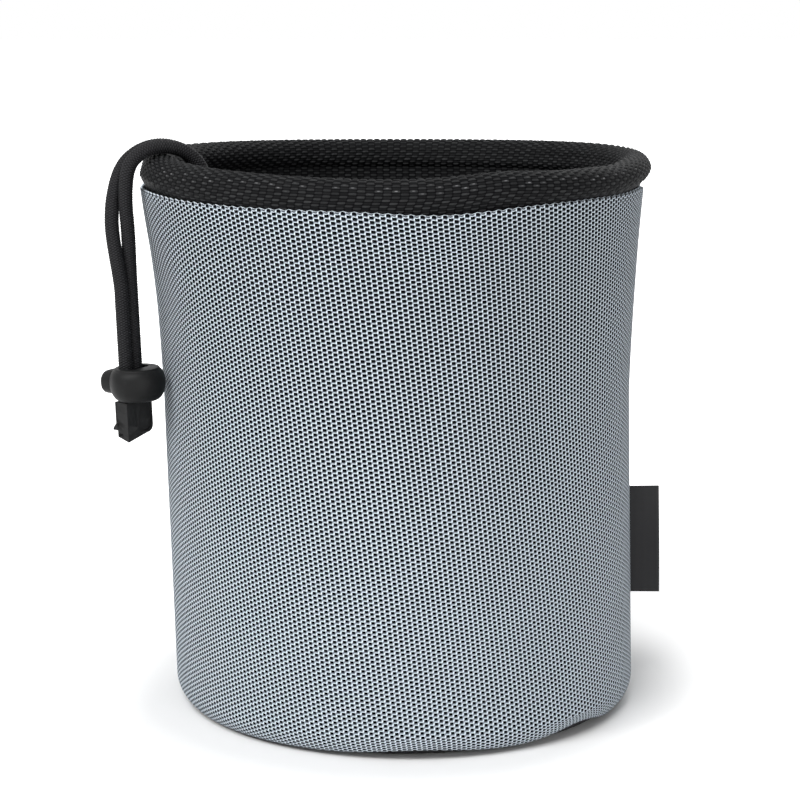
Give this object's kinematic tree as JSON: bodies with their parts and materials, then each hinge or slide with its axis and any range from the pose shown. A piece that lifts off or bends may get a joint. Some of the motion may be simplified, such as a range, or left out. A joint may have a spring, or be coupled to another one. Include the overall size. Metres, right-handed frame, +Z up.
{
  "type": "peg bag",
  "caption": "Round fabric peg bag with a hooped webbing rim, gathered drawstring collar inside, cord tails over the rim and a sprung cord lock.",
  "frame": {"origin": "middle of the underside of the base, on the bag's axis", "axes": "+Z up along the bag's axis, +X towards the label in the side seam, -Y towards the viewer in the picture"},
  "size_m": [0.1635, 0.1482, 0.168],
  "materials": {
    "woven_wall": "coarse two-tone plain weave, black and pale grey yarns",
    "base_cloth": "black coated cloth",
    "lining_nylon": "black nylon",
    "hoop_plastic": "extruded rod",
    "rim_webbing": "black coarse webbing",
    "collar_nylon": "black nylon with a slight sheen",
    "braided_cord": "black round braid",
    "label_ribbon": "black satin ribbon, bare",
    "eyelet_metal": "black enamel",
    "lock_plastic": "fine moulded grain",
    "spring_steel": "drawn wire",
    "cord_end_plastic": "moulded, slightly worn"
  },
  "bodies": {
    "bag": {"outer_wall": "woven_wall", "base_panel": "base_cloth", "lining_base": "lining_nylon", "lining_wall": "lining_nylon", "rim_hoop": "hoop_plastic", "rim_binding": "rim_webbing", "closure_collar": "collar_nylon", "drawcord_loop": "braided_cord", "label_tab": "label_ribbon", "cord_eyelet_front": "eyelet_metal", "cord_eyelet_back": "eyelet_metal", "cord_tail_front": "braided_cord", "cord_tail_back": "braided_cord", "cord_end_shell": "cord_end_plastic", "cord_end_cover": "cord_end_plastic"},
    "lock": {"lock_barrel": "lock_plastic", "lock_spring": "spring_steel"},
    "button": {"lock_plunger": "lock_plastic"}
  },
  "joints": [
    {"name": "lock_slide", "type": "slide", "parent": "bag", "child": "lock", "axis": [-0.0335, -0.0099, 0.9994], "range_m": [0, 0.023]},
    {"name": "button_press", "type": "slide", "parent": "lock", "child": "button", "axis": [0.8087, -0.5879, 0.0212], "range_m": [0, 0.002], "stiffness_N_per_m": 1200, "springref_m": -0.003, "deforming": ["lock_spring"]}
  ]
}
